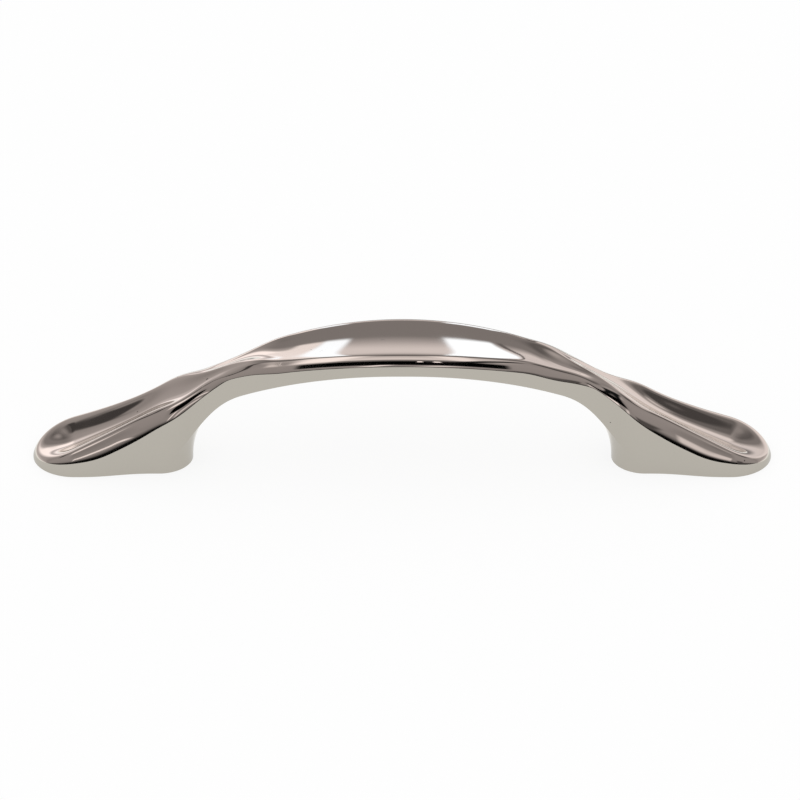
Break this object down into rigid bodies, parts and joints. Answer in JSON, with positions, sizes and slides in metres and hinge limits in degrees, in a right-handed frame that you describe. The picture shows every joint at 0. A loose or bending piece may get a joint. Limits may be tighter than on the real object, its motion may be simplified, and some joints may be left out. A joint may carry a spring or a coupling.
{
  "type": "arch pull",
  "caption": "Arched cabinet or drawer pull cast in one piece, with a slightly dished grip that twists through a narrow neck at each end into a spoon-shaped foot.",
  "frame": {"origin": "middle of the mounting plane, halfway between the two screw holes", "axes": "+X along the grip, +Z away from the door or drawer front, +Y across the grip to the side away from the viewer"},
  "size_m": [0.118, 0.014, 0.022],
  "materials": {
    "nickel": "mirror-polished nickel plate, slightly warm"
  },
  "bodies": {
    "root": {"pull": "nickel"}
  },
  "joints": []
}
